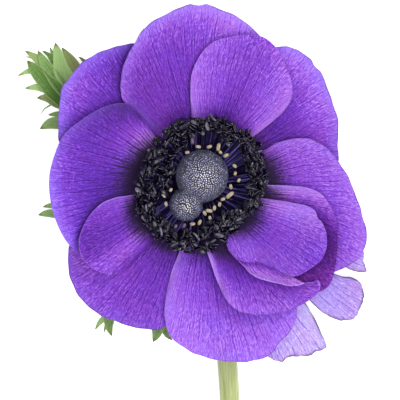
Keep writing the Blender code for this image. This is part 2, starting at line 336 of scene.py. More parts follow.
profile = smooth_path(RECEPTACLE_PROFILE, RECEPTACLE_RINGS)
route = smooth_path(STEM_ROUTE, STEM_RINGS + 1)[1:]
route[:, 2] = np.maximum(route[:, 2], STEM_RADIUS)
upright = np.column_stack([np.zeros((RECEPTACLE_RINGS, 2)), profile[:, 0]])
middle = np.vstack([upright, route])
radius = np.concatenate([profile[:, 1], np.full(STEM_RINGS, STEM_RADIUS)])
radius[RECEPTACLE_RINGS:][:NECK_RINGS] += NECK_SWELL * (
    1 - eased(np.arange(NECK_RINGS), 0, NECK_RINGS))
ahead = unit(np.gradient(middle, axis=0))
cut_share, cut_depth = np.array(CUT_RINGS).T
middle = np.vstack([middle, middle[-1] + cut_depth[:, None] * ahead[-1]])
ahead = np.vstack([ahead, np.tile(ahead[-1], (len(cut_share), 1))])
ahead[:RECEPTACLE_RINGS] = (0.0, 0.0, -1.0)
radius = np.concatenate([radius, STEM_RADIUS * cut_share])

# Ribs are cosine waves round the stem that wander a little, over three slow lumps.
travel = np.arange(len(middle))[:, None] * RING_GAP
turn = np.linspace(0, 2 * np.pi, STEM_SIDES, endpoint=False)
ribbed = RIB_DEPTH * eased(travel, *RIB_START) * np.cos(
    STEM_RIBS * turn + RIB_WANDER * np.sin(travel / 23))
ribbed += LUMP_DEPTH * np.sin(3 * turn + travel / 9) * np.cos(travel / 14)
ribbed[-len(cut_share):] *= cut_share[:, None] ** 3
section = round_section(STEM_SIDES)[None] * (1 + ribbed)[..., None]
rings = swept(middle[None], np.array([[[1.0, 0.0, 0.0]]]), radius[None], section[None],
              ahead[None])
rings[..., 2] = np.maximum(rings[..., 2], SURFACE_GAP)

stem_skin, wire, shader = new_skin("downy_stem", {
    "Roughness": 0.5, "Sheen Weight": 0.5, "Sheen Roughness": 0.4})
round_x, round_y, run = wire.stored_parts("grain")
pith = wire.stored("pith")
_, _, z = head_places(wire)
fibre = wire.noise(round_x * 7, round_y * 7, 3, run / 16)
fine = wire.noise(round_x * 16, round_y * 16, 2, run / 5)
relief = fibre * 0.6 + fine * 0.4
body = relief.rise(0.36, 0.64).mixed(tone(*STEM_SHADED), tone(*STEM_LIT))
# The receptacle's top, under the pistil head and the stamens, is painted dark as their shade.
colour = z.rise(12.0, 13.4).mixed(body, tone(*SHADE_UNDER_HEAD))
cut_face = pith.rise(0.3, 0.6).mixed(tone(*CUT_WALL), tone(*PITH))
colour = pith.rise(0.0, 0.04).mixed(colour, cut_face)
colour.feed(shader, "Base Color")
relief.bumped().feed(shader, "Normal")

piece = add_mesh("stem_and_receptacle", *tubes(rings), stem_skin, "stem", ["stem"])
grain = np.dstack(np.broadcast_arrays(*round_section(STEM_SIDES).T, travel))
ends = np.insert(np.zeros((2, 2)), 2, travel[[0, -1], 0], axis=1)
set_value(piece, "grain", np.vstack([grain.reshape(-1, 3), ends]))
cut_part = np.concatenate([np.zeros(len(middle) - len(cut_share)), 1.02 - cut_share])
set_value(piece, "pith", along_tubes(cut_part[None], STEM_SIDES))

# The bracts: three ruffs of soft green leaf below the head, each cut deep into pointed
# leaflets that droop from the neck and rest on the surface. Their edges are pale with fine
# down, their tips turn brown, and some leaflets are greyer.
BRACT_FOOT, BRACT_FOOT_HEIGHT, BRACT_REST, BRACT_DROOP, FOOT_SPREAD = 3.3, 11.4, 0.35, 1.7, 0.35
LEAF_STATIONS, LEAF_WIDTH_POINTS, LEAF_THICKNESS, LEAF_FULLNESS = 46, 11, 0.26, 1.45
LEAF_SWELL, LEAF_CREST, LEAF_NICK, LEAF_STEP = (0.1, 0.55), 0.78, 0.05, 0.06
LEAF_CUP, LEAF_LIFT, LEAF_WAVE = 0.22, 0.05, 0.08
LEAF_DEEP, LEAF_GREY, LEAF_RUST = (56, 98, 4), (136, 168, 100), (122, 110, 62)
LEAF_MARGIN, LEAF_TIP = (168, 184, 126), (78, 62, 40)
# A bract has the bearing of its foot, the reach at which it rests and its leaflets, lowest
# first. A leaflet has its width, its tint from 0, deep, to 1, greyish, how brown it is and its
# midline in plan.
BRACTS = {
    "upper_left": (138, 43, [
        (0.4, 0.4, 0.6, [(-36.7, 20.0), (-38.5, 19.4), (-39.5, 18.6), (-40.1, 17.4)]),
        (1.6, 0.5, 0.3, [(-32.0, 17.7), (-35.2, 17.6), (-36.7, 17.6), (-38.3, 17.4)]),
        (2.7, 0.55, 0.2, [(-31.2, 16.1), (-35.2, 15.5), (-37.8, 15.2), (-40.3, 13.9)]),
        (2.6, 0.3, 0.1, [(-14.0, 31.0), (-14.5, 36.0), (-14.1, 39.2)]),
        (1.6, 0.7, 0.4, [(-37.2, 26.9), (-40.5, 28.0), (-43.0, 28.5), (-45.9, 27.2)]),
        (2.5, 0.45, 0.8, [(-32.8, 19.9), (-35.9, 20.8), (-38.5, 21.7), (-41.1, 21.7)]),
        (2.0, 0.75, 0.2, [(-34.8, 23.2), (-38.5, 24.0), (-41.2, 24.4), (-44.1, 24.1)]),
        (1.6, 0.0, 0.3, [(-34.2, 26.9), (-36.5, 30.2), (-37.9, 32.4), (-39.8, 33.6)]),
        (1.3, 0.2, 0.2, [(-34.8, 27.4), (-36.5, 31.4), (-37.2, 33.1), (-37.9, 34.6)]),
        (2.1, 0.5, 0.7, [(-36.8, 26.9), (-40.0, 30.7), (-42.2, 32.4), (-44.1, 33.6)]),
        (0.8, 0.6, 0.5, [(-38.2, 28.6), (-41.5, 31.4), (-43.0, 31.9), (-44.1, 32.2)]),
        (2.3, 0.3, 0.8, [(-29.1, 25.4), (-31.4, 29.2), (-32.9, 31.8), (-34.8, 34.4)]),
        (1.4, 0.0, 0.5, [(-27.6, 28.5), (-29.1, 30.9), (-30.6, 32.1)]),
        (2.9, 0.7, 0.0, [(-31.2, 23.1), (-34.5, 27.9), (-35.6, 31.9), (-36.4, 35.6)]),
        (2.6, 0.3, 0.0, [(-32.5, 21.7), (-37.0, 27.4), (-39.2, 30.6), (-40.8, 33.6)]),
        (3.3, 0.1, 0.0, [(-32.6, 19.8), (-37.1, 24.1), (-40.8, 28.0), (-43.5, 31.1)])]),
    "lower_left": (224, 38, [
        (1.6, 0.8, 0.3, [(-34.8, -5.2), (-36.8, -5.4), (-38.4, -5.5), (-39.6, -5.8)]),
        (2.0, 0.6, 0.2, [(-33.9, -7.2), (-36.4, -7.4), (-38.7, -7.4), (-40.8, -7.8)]),
        (1.4, 0.75, 0.2, [(-22.4, -32.1), (-23.9, -33.6), (-25.3, -34.9), (-26.4, -36.7)]),
        (2.2, 0.2, 0.5, [(-22.2, -32.1), (-22.8, -34.0), (-22.9, -36.0), (-22.2, -38.3)]),
        (1.0, 0.2, 0.5, [(-22.7, -32.5), (-23.1, -34.3), (-23.8, -36.0), (-24.2, -37.5)]),
        (2.8, 0.3, 0.0, [(-10.1, -34.5), (-10.7, -36.3), (-10.9, -37.8), (-11.8, -39.7)]),
        (1.8, 0.2, 0.6, [(-9.2, -34.0), (-8.8, -36.2), (-8.4, -37.8), (-7.0, -39.3)]),
        (3.0, 0.3, 0.1, [(-24.5, -16.5), (-29.0, -18.5), (-32.5, -19.5)]),
        (3.0, 0.3, 0.1, [(-17.5, -25.0), (-19.0, -28.5), (-19.5, -32.0)])]),
    "right": (10, 31, [
        (2.8, 0.3, 0.1, [(26.0, -6.5), (29.0, -7.8), (31.7, -9.0)]),
        (2.8, 0.3, 0.1, [(27.0, -4.0), (30.0, -5.0), (33.0, -5.8)]),
        (3.0, 0.4, 0.1, [(26.0, 2.6), (29.5, 3.8), (32.2, 4.5)]),
        (3.0, 0.3, 0.1, [(25.0, 5.6), (28.5, 7.4), (31.8, 8.5)]),
        (3.0, 0.4, 0.1, [(22.0, 14.5), (25.0, 17.5), (27.9, 20.2)]),
        (3.0, 0.3, 0.1, [(20.0, 17.5), (23.0, 20.8), (25.6, 23.8)])]),
}


def sheet_faces(rows, ribs):
    """Quads of two skins over a grid, the upper one first, and of the rim that joins them."""
    index = np.arange(rows * ribs).reshape(rows, ribs)
    a, b, c, d = index[:-1, :-1], index[:-1, 1:], index[1:, 1:], index[1:, :-1]
    upper = np.stack([a, d, c, b], axis=-1).reshape(-1, 4)
    lower = upper[:, ::-1] + rows * ribs
    loop = np.concatenate([index[0, :-1], index[:-1, -1], index[-1, :0:-1], index[:0:-1, 0]])
    ahead = np.roll(loop, -1)
    rim = np.stack([loop, ahead, ahead + rows * ribs, loop + rows * ribs], axis=-1)
    return [upper, lower, rim]


def two_skins(middle, thickness):
    """The upper and the lower skin of a sheet: its middle surface, moved half its thickness
    each way along the direction that crosses its rows and ribs."""
    across = np.gradient(middle, axis=1)
    outward = np.gradient(middle, axis=0)
    facing = np.cross(outward, across)
    facing /= np.linalg.norm(facing, axis=2, keepdims=True) + 1e-9
    facing *= np.sign(facing[..., 2:].mean())
    offset = facing * thickness[..., None] / 2
    return np.stack([middle + offset, middle - offset])


def leaflet(foot, rest_reach, width, order, midline):
    """One leaflet from the bract's foot: its width swells from under half to the whole over
    half of its length and closes to a blunt point as 1 less the share to the 2.3rd, and its
    halves rise from the midrib as a shallow V. Its height follows the bract's droop."""
    first = np.array(midline[0])
    palm = [foot, foot * 0.55 + first * 0.42, foot * 0.02 + first * 0.9]
    line = smooth_path(np.vstack([palm, midline]), LEAF_STATIONS)
    ahead = unit(np.gradient(line, axis=0))
    left = np.stack([-ahead[:, 1], ahead[:, 0]], axis=-1)
    along = np.linspace(0, 1, LEAF_STATIONS)
    swell = 0.45 + 0.55 * eased(along, *LEAF_SWELL)
    close = (1 - (np.clip(along - LEAF_CREST, 0, None) / (1 - LEAF_CREST)) ** 2.3) ** 0.75
    half = width / 2 * LEAF_FULLNESS * swell * np.maximum(close, 0.02)
    across = np.linspace(-1, 1, LEAF_WIDTH_POINTS)
    nicked = 1 + LEAF_NICK * np.sin(along * 46 + order)[:, None] * np.abs(across)
    plan = line[:, None] - left[:, None] * (half[:, None] * across * nicked)[..., None]
    reach = np.linalg.norm(plan, axis=2)
    droop = 1 - np.clip((reach - BRACT_FOOT) / (rest_reach - BRACT_FOOT), 0, 1)
    height = BRACT_REST + (BRACT_FOOT_HEIGHT - BRACT_REST) * droop**BRACT_DROOP
    height += LEAF_STEP * order + half[:, None] * (LEAF_CUP * np.abs(across) + LEAF_LIFT)
    height += LEAF_WAVE * np.sin(along * 15 + order)[:, None]
    thickness = np.broadcast_to(LEAF_THICKNESS * (1 - 0.5 * np.abs(across)), plan.shape[:2])
    skins = two_skins(np.dstack([plan, height]), thickness)
    shares = np.dstack(np.broadcast_arrays(along[:, None], across, 0.0)).reshape(-1, 3)
    return skins.reshape(-1, 3), sheet_faces(*plan.shape[:2]), np.tile(shares, (2, 1))


leaf_skin, wire, shader = new_skin("soft_leaf", {
    "Roughness": 0.5, "Specular IOR Level": 0.25, "Sheen Weight": 0.1,
    "Sheen Roughness": 0.4})
along, across, _ = wire.stored_parts("leaflet")
grey, brown, _ = wire.stored_parts("state")
x, y, _ = head_places(wire)
away = wire.math("ABSOLUTE", across)
mottle = wire.noise(x * 1.3, y * 1.3, 3)
vein = wire.noise(across * 5 + x * 0.1, along * 9, 2)
tint = (grey + (along - 0.82) * 1.5 + (mottle - 0.5) * 0.4 + (vein - 0.5) * 0.6
        + (wire.noise(x * 5, y * 5) - 0.5) * 0.9 + away * 0.12)
body = tint.rise(0.0, 1.0).mixed(tone(*LEAF_DEEP), tone(*LEAF_GREY))
rusty = (brown + (mottle - 0.5) * 1.2).rise(0.3, 1.4)
colour = rusty.mixed(body, tone(*LEAF_RUST))
colour = (away.rise(0.84, 0.98) * 0.5).mixed(colour, tone(*LEAF_MARGIN))
colour = (along.rise(0.965, 0.995) * 0.7).mixed(colour, tone(*LEAF_TIP))
colour.feed(shader, "Base Color")
relief = vein * 0.6 + mottle * 0.4
relief.bumped().feed(shader, "Normal")

for bract_name, (foot_bearing, rest_reach, leaflets) in BRACTS.items():
    turn = np.radians(foot_bearing)
    blades, places, states = [], [], []
    for order, (width, greyness, browning, midline) in enumerate(leaflets):
        toward = np.arctan2(midline[0][1], midline[0][0])
        foot_turn = turn + FOOT_SPREAD * ((toward - turn + np.pi) % (2 * np.pi) - np.pi)
        foot = BRACT_FOOT * np.array([np.cos(foot_turn), np.sin(foot_turn)])
        points, faces, values = leaflet(foot, rest_reach, width, order, midline)
        blades.append((points, faces))
        places.append(values)
        states.append(np.tile([greyness, browning, 0.0], (len(points), 1)))
    piece = add_mesh(bract_name + "_bract", *joined(blades), leaf_skin, "leaf",
                     ["bract_" + bract_name])
    set_value(piece, "leaflet", np.vstack(places))
    set_value(piece, "state", np.vstack(states))

# Petals: thin crepe-like sheets, violet to lilac, in whorls that cup one inside another.
# Each grows from a narrow foot on the receptacle, where its veins run together and the
# colour deepens to ink, darkened further by painted shade under the stamens. Their lightness
# is their own tone together with painted light and painted shade, among it the painted
# shadow of the petals above. Three narrow ones at the back are bleached, and spread flat.
FOOT_RADIUS, FOOT_WIDTH, PALE_FOOT_WIDTH, RIM_RADIUS = 5.9, 4.0, 1.4, 45.0
BOWL_POWER, LOWEST_FOOT, FOOT_STEP = 1.5, 13.0, 0.8
RIM_HEIGHTS = {-1: 3.0, 0: 17.0, 1: 20.0, 2: 23.5, 3: 27.0, 4: 31.0}
RIBS, ROWS, ROW_CROWDING, BOW_SHARE = 121, 72, 1.25, 0.6
SHEET_MIDDLE, SHEET_EDGE, EDGE_TAPER = 0.36, 0.16, 2.5
MARGIN_NICK, WAVE_HEIGHT, PALE_WAVE, LOWEST_TIP = 0.06, 0.4, 0.3, 0.3
SHADE_DEPTH, SHADE_SHIFT, FARTHEST_GAP, GLOW_REACH, INK_AND_SHADE_NARROWING = 0.5, (-0.3, -0.3), 4, 3.8, 0.9
# The innermost petal folds under past its last ribs, whose share is FOLD, into a lip that is
# a sheet of its own. FOLD_SHADE is the shade painted along the crease, LIP_TONES run from
# painted shade in the crease to painted light at the lip's margin, and LIP_RIM is how
# strongly a highlight is painted on that margin.
FOLD, FOLD_SHADE, FOLD_EASE, LIP_RIBS, LIP_ROWS, LIP_LENGTH = 0.29, 0.35, 0.04, 61, 16, 14
LIP_DROP, LIP_SAG, LIP_INK_AND_SHADE, LIP_RIM, LIP_BLUSH = 0.45, 0.9, 4, 0.7, 0.5
LIP_TONES = [(0, 0.15), (0.25, 0.55), (0.6, 0.95), (1, 1.1)]
TONE_PLACES, SIDE_ROWS, SIDE_FALL = (0.3, 0.55, 0.8, 1.0), (0.45, 1), 1.3

# A petal has its whorl, the bearing of its foot, and:
# - tones, its lightness from 0 to 1 at TONE_PLACES along its ribs: its own tone together
#   with painted light and shade
# - sides, what its first and its last side add to that, near the foot and at the margin,
#   also its own tone together with painted light and shade
# - blush, how red it is, and rim, how strongly a highlight is painted on its rim, or how dark
#   the rim is below 0, both at its first, middle and last rib, and glow, how much light is
#   painted on the middle of its margin
# - ink, the reaches between which the ink of the foot, darkened further by painted shade
#   under the stamens, fades out
# - shade, how much the petals above shade it
# - bands, light painted along a rib, or shade painted there below 0, each with its place,
#   width and strength
# - bow, which fan explains, and lip, the outline of a margin that folds under
# - margin, its outline as (bearing, reach) points.
USUAL_PETAL = dict(sides=((0, 0), (0, 0)), blush=(0, 0, 0), glow=0, shade=1, bands=[],
                   bow=(0, 0), lip=[])
PALE_PETAL = dict(whorl=-1, ink=(0, 1), rim=(-1, -1, -0.8))
PETALS = {
    "outer_upper_left": dict(
        whorl=0, foot=140, tones=(0.1, 0.47, 0.61, 0.85), sides=((0, 0), (-1, -0.8)),
        ink=(15, 19), glow=0.5, rim=(-0.5, -0.5, -0.5), shade=0.55, margin=[
            (109, 28), (113, 37.5), (120, 40), (127, 41.4), (134, 42.4), (140, 42.1), (145, 42.1),
            (151, 40.3), (157, 38.5), (164, 36.3), (170, 29), (169, 17)]),
    "outer_upper_right": dict(
        whorl=0, foot=36, tones=(0.45, 0.32, 0.74, 0.95), sides=((0.2, 0.3), (-0.75, -0.9)),
        blush=(-0.6, 0.1, 1.2), ink=(15.5, 20.5), glow=0.5, rim=(-0.7, -0.7, -0.7), shade=0.15,
        margin=[
            (3, 17), (2, 26), (8, 34.1), (12, 35.4), (16, 35.9), (20, 36.9), (24, 37.9),
            (28.1, 38.6), (32.9, 39.2), (36.9, 39.9), (40.9, 40.9), (43.1, 41.4), (45.3, 41.1),
            (46.6, 41.2), (48.1, 41.7), (50.6, 41.8), (53.5, 41.6), (56, 41.1), (58.4, 40.5),
            (64, 37), (69, 30), (68, 17)]),
    "outer_lower_left": dict(
        whorl=0, foot=230, tones=(0.36, 0.4, 0.53, 0.6), sides=((-0.15, -0.05), (0.4, 0.3)),
        blush=(0, 0.3, 0.8), ink=(17, 21), glow=0.2, rim=(-0.4, -0.6, -0.6), shade=-0.3, margin=[
            (201, 17), (200, 27), (204, 35), (209, 37.8), (216, 40.1), (223, 41.3), (231, 41.4),
            (239, 40.3), (247, 39.2), (255, 37.4), (261, 32), (262, 24)]),
    "top": dict(
        whorl=1, foot=96, tones=(0.27, 0.44, 0.54, 0.97), sides=((0, -0.3), (0.05, 0)),
        blush=(0.7, 0.2, 0.2), ink=(13, 17.5), glow=0.5, rim=(-0.5, -0.6, -0.7), shade=0,
        bands=[(0.68, 0.1, 0.2)], margin=[
            (56, 28), (61, 37.5), (68.4, 40.1), (71.1, 41), (74.1, 42), (77.2, 42.8),
            (81.4, 43.6), (85.8, 44.55), (88.1, 45.05), (89.7, 44.65), (91.3, 44.65),
            (93.2, 45.05), (95.3, 44.75), (100.3, 43.5), (103.5, 42.9), (106.5, 42.4),
            (109, 41.5), (113.4, 39.6), (119.8, 36.7), (124.4, 34.5), (128, 32.3), (130.6, 30.3),
            (132.9, 27.5), (132.5, 17)]),
    "right": dict(
        whorl=1, foot=354, tones=(0.12, 0.6, 0.78, 0.96), sides=((0.1, 0), (0.05, 0.05)),
        blush=(0.25, 0.12, 0), ink=(18, 24.5), glow=0.2, rim=(-0.5, -0.6, -0.6), shade=0.45,
        margin=[
            (317, 28), (322, 37), (329, 41.3), (333, 43.1), (337, 44.2), (343, 43.65),
            (350, 41.05), (356, 39.05), (3, 37.05), (11, 34.55), (18, 32.15), (24, 28.2),
            (28, 22.5), (27, 17)]),
    "lower": dict(
        whorl=1, foot=282, tones=(0.3, 0.56, 0.84, 0.98), sides=((-0.3, 0), (0.5, 0.05)),
        blush=(0.1, -0.05, 0), ink=(15, 20), glow=0.15, rim=(-0.6, -0.5, 0.3), shade=0, margin=[
            (252, 22.9), (253, 28.5), (255, 34.2), (259, 38.8), (265, 41.3), (270, 42.9),
            (275, 44.1), (281, 45.3), (287, 46.2), (292, 46.2), (297, 44.3), (303, 42.6),
            (308, 39), (310, 30)]),
    "left": dict(
        whorl=2, foot=170, tones=(0.05, 0.2, 0.44, 0.84), sides=((0.05, 0.4), (1.35, -1.1)),
        blush=(-0.65, -0.25, 0.4), ink=(16.5, 23), glow=0.35, rim=(-0.1, 0.1, 0.1), margin=[
            (130.5, 23), (132.5, 27.2), (138, 29.8), (144, 31.6), (152, 33.8), (160, 36.1),
            (168, 37), (177, 37.7), (186, 37.6), (195, 37.1), (204, 36.2), (210, 34.2), (214, 28),
            (213, 17)]),
    "middle_right": dict(
        whorl=2, foot=334, tones=(0.1, 0.35, 0.5, 0.72), sides=((1.4, 0.8), (0.2, 0.35)),
        blush=(-0.6, 1.3, 1.2), ink=(18, 25), rim=(0.25, -0.2, -0.3), shade=0.75,
        bands=[(0.42, 0.13, -0.45), (0.21, 0.06, 0.1)], margin=[
            (308, 17), (308, 28), (312, 37.5), (318, 40.2), (322, 41), (326.5, 40.2),
            (332.5, 38.5), (339.5, 36.8), (346, 35), (352, 32.3), (356, 29.8), (358.5, 25.5),
            (359, 17)]),
    "inner_upper_right": dict(
        whorl=2, foot=68, tones=(0.1, 0.5, 0.6, 0.72), sides=((0.7, 0.6), (0.75, 0.9)),
        blush=(0.2, 0.1, 0.5), ink=(13, 16.5), rim=(0.35, 0, -0.7), margin=[
            (97, 16), (96, 22.5), (94, 28), (89, 33), (84, 35.9), (78, 37.7), (71, 39.4),
            (66, 39.9), (60, 38.8), (54, 36.5), (48, 34.2), (43.5, 31.7), (41, 28), (41, 22),
            (42, 16)]),
    "middle_lower": dict(
        whorl=3, foot=298, tones=(0.1, 0.26, 0.64, 0.88), sides=((0.1, -0.15), (0.5, 0.9)),
        blush=(0.3, 0.2, 0.1), ink=(16.5, 21.5), rim=(0.5, -0.6, 0.4), bow=(-0.5, -4.8), margin=[
            (275, 16), (278, 20.3), (280, 24.5), (283, 29.9), (287, 33.2), (292, 35.2),
            (297, 36.7), (303, 38), (309, 39.2), (315, 40), (318.3, 39.9), (320.4, 38.9),
            (320.9, 38)]),
    "inner_lower_left": dict(
        whorl=3, foot=211, tones=(0, 0.36, 0.3, 0.38), sides=((0, 0.05), (0.75, 0.5)),
        blush=(0.3, 0.15, 0), ink=(17.5, 23), rim=(-0.3, 0.25, 0.5), bands=[(0.31, 0.12, 0.4)],
        margin=[
            (189, 21), (190.5, 24.3), (194, 27.4), (199, 30.6), (205, 33.4), (211, 34.7),
            (217, 34.4), (222, 33.1), (226, 31.5), (229, 28.5), (230, 23.5)]),
    "inner_lower_right": dict(
        whorl=4, foot=322, tones=(0.3, 0.58, 0.62, 0.64), sides=((0.35, 0.5), (0.1, 0.4)),
        blush=(0.1, -0.05, -0.2), ink=(15, 20), rim=(-0.2, 0, 0.5), bands=[(0.26, 0.13, 0.25)],
        margin=[
            (293.3, 17.7), (296, 20.6), (299, 22.2), (303.4, 23.6), (307.4, 25.5), (310.6, 27.7),
            (313, 30.1), (314.6, 32.3), (316.8, 33.4), (319.3, 34.1), (322.4, 34.7),
            (325.3, 35.3), (328.1, 35.7), (331, 35.6), (333.5, 35.3), (336.1, 34.6),
            (338.9, 33.7), (341.1, 32.7), (342.9, 31.7), (343.6, 30.8), (344.6, 30.3),
            (347, 29.4), (348.5, 27), (348.5, 22), (346.5, 17)],
        lip=[
            (293.3, 17.9), (295.9, 20.8), (298, 23.1), (299.3, 25.5), (301.7, 27.6), (305, 29.6),
            (308.7, 32), (311.4, 34), (314.7, 35.5), (316.4, 35.9)]),
    "pale_lower": dict(PALE_PETAL,
        foot=302, tones=(0.5, 0.62, 0.74, 0.66), sides=((0.25, 0.35), (0, 0)), shade=0.4, margin=[
            (289.8, 44.5), (292, 47.2), (294.5, 49.2), (296.5, 48.9), (298, 49.2), (300, 50),
            (302.5, 51.2), (304.5, 51.3), (306.4, 51.8), (308, 51.8), (309.2, 48.3),
            (310.6, 44.2), (311.8, 39)]),
    "pale_right": dict(PALE_PETAL,
        foot=320, tones=(0.5, 0.52, 0.54, 0.58), sides=((0, -0.1), (0.2, 0.1)), shade=0.2,
        bow=(-0.5, -3.2), margin=[
            (313.4, 41), (313.8, 45), (315.5, 48.8), (317.6, 50.7), (319, 51.5), (320.9, 51.3),
            (323.1, 50.8), (325.2, 50.2), (327, 49), (328.6, 47), (328.4, 44.4)]),
    "pale_small": dict(PALE_PETAL,
        foot=340, tones=(0.5, 0.6, 0.65, 0.72), blush=(0.1, 0.1, 0.1), shade=0.4, margin=[
            (330.2, 43), (331, 45.6), (332.2, 47.2), (332.8, 47.1), (335, 45.4), (338, 44.3),
            (339.6, 40.4), (340, 34.4)]),
}
for made in PETALS.values():
    for key, value in USUAL_PETAL.items():
        made.setdefault(key, value)


def from_bearings(outline):
    """The plan position of each (bearing, reach) point."""
    bearing, reach = np.radians([p[0] for p in outline]), np.array([p[1] for p in outline])
    return np.column_stack([reach * np.cos(bearing), reach * np.sin(bearing)])


def fan(foot_bearing, foot_width, margin, along, bow):
    """Plan of a sheet whose ribs run from a short foot arc to its margin: foot times
    1 - along plus margin times along. A bow pushes the first ribs aside by that much at two
    thirds of their length, as 27/4 times along squared times 1 - along. Ribs turn clockwise,
    so the sheet faces up."""
    bearings = np.unwrap(np.arctan2(margin[:, 1], margin[:, 0]))
    if bearings[-1] > bearings[0]:
        margin = margin[::-1]
    half_turn = foot_width / FOOT_RADIUS / 2
    turns = np.radians(foot_bearing) + np.linspace(half_turn, -half_turn, len(margin))
    foot = FOOT_RADIUS * np.column_stack([np.cos(turns), np.sin(turns)])
    share = along[:, None, None]
    bent = np.clip(1 - np.linspace(0, 1, len(margin)) / BOW_SHARE, 0, 1)[:, None] ** 2 * bow
    return foot * (1 - share) + margin * share + 27 / 4 * share**2 * (1 - share) * bent


def line_distance(points, line):
    """The distance from each point to the nearest of a line's straight pieces, in plan."""
    start, step = line[:-1], np.diff(line, axis=0)
    gap = points.reshape(-1, 1, 2) - start
    share = np.clip((gap * step).sum(axis=2) / ((step**2).sum(axis=1) + 1e-9), 0, 1)
    nearest = np.linalg.norm(gap - share[..., None] * step, axis=2).min(axis=1)
    return nearest.reshape(points.shape[:-1])


def within(points, outline):
    """Whether each point is inside a closed outline: lines to +X cross it an odd number of times."""
    x, y = points.reshape(-1, 2).T[..., None]
    (x0, y0), (x1, y1) = outline.T, np.roll(outline, -1, axis=0).T
    straddles = (y0 > y) != (y1 > y)
    crossing = x0 + (y - y0) / (y1 - y0 + 1e-9) * (x1 - x0)
    return ((straddles & (crossing > x)).sum(axis=1) % 2 == 1).reshape(points.shape[:-1])


def outline_of(plan):
    """A sheet's outline: out along its first rib, round its margin and back along its last."""
    return np.vstack([plan[:-1:3, 0], plan[-1, ::2], plan[::-3, -1]])


def set_ribs(piece, places):
    """Gives a sheet its UV map: millimetres round its margin, and the share along its ribs."""
    corner = np.empty(len(piece.data.loops), np.int32)
    piece.data.loops.foreach_get("vertex_index", corner)
    layer = piece.data.uv_layers.new(name="ribs")
    layer.data.foreach_set("uv", places[corner].ravel().astype(np.float32))


# The crepe's two nets have their fineness and slant, and the main veins and the ones between
# them have their spacing and how far they wander. The nets' streaks are partly the crepe's
# own tone and partly painted highlight and shade of its fine relief, and the ridges beside
# the veins get a painted highlight of RIDGE_LIFT.
NETS, VEINS = ((3.3, 0.25), (4.2, -0.2)), ((3.3, 0.7), (1.6, 0.9))
FAINT, NET_LIFT, RIDGE_LIFT = 0.55, 0.02, 0.08
BLUSH, BLUSH_PATCHES, REDDER, THIN_LIGHT = 0.06, 1.6, (0.12, -0.12, -0.2), 0.15
# Colours of the light painted along the middle of a margin and of the highlight painted on a rim.
GLOW, RIM_HIGHLIGHT = (142, 124, 232), (184, 150, 236)


